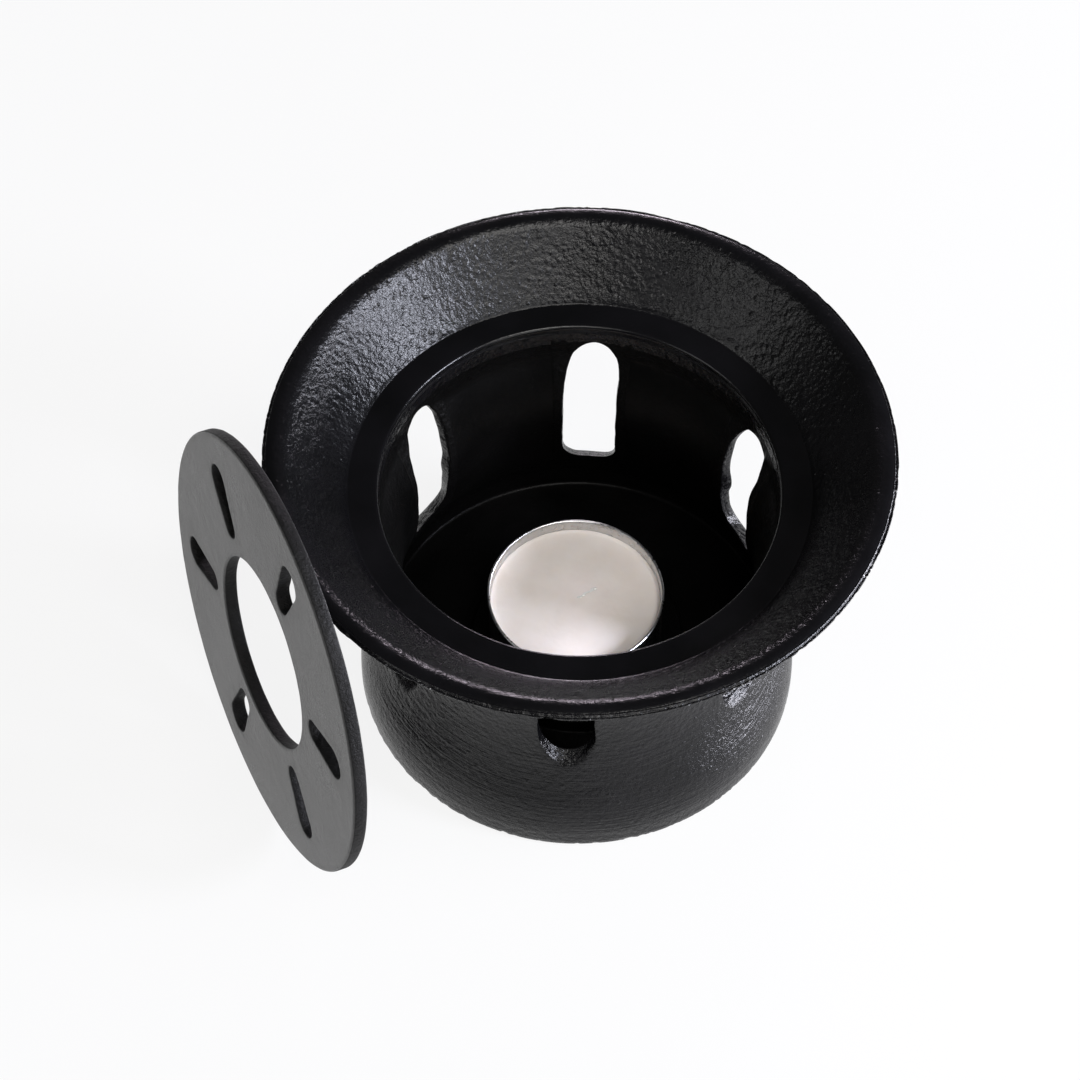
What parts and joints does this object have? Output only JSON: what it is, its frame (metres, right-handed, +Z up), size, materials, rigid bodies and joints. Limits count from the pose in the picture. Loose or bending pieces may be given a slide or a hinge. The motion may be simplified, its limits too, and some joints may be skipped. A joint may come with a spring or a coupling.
{
  "type": "teapot warmer",
  "caption": "Waisted cast iron teapot warmer with a flared funnel rim and arched vents, a loose slotted trivet plate that leans on its lip, and a tealight inside.",
  "frame": {"origin": "centre of the stand's foot, on the surface it stands on", "axes": "+Z up along the stand's axis, -Y towards the viewer of the picture, the plate leans on the lip at the -X side"},
  "size_m": [0.149, 0.1359, 0.0929],
  "materials": {
    "stand_iron": "black satin coating over a sand cast skin",
    "plate_iron": "black satin coating, fine grained",
    "cup_metal": "bright drawn foil",
    "wax": "satin wax",
    "wick": "waxed cotton"
  },
  "bodies": {
    "root": {"warmer_body": "stand_iron", "trivet_plate": "plate_iron", "candle_cup": "cup_metal", "candle_wax": "wax", "candle_wick": "wick"}
  },
  "joints": []
}
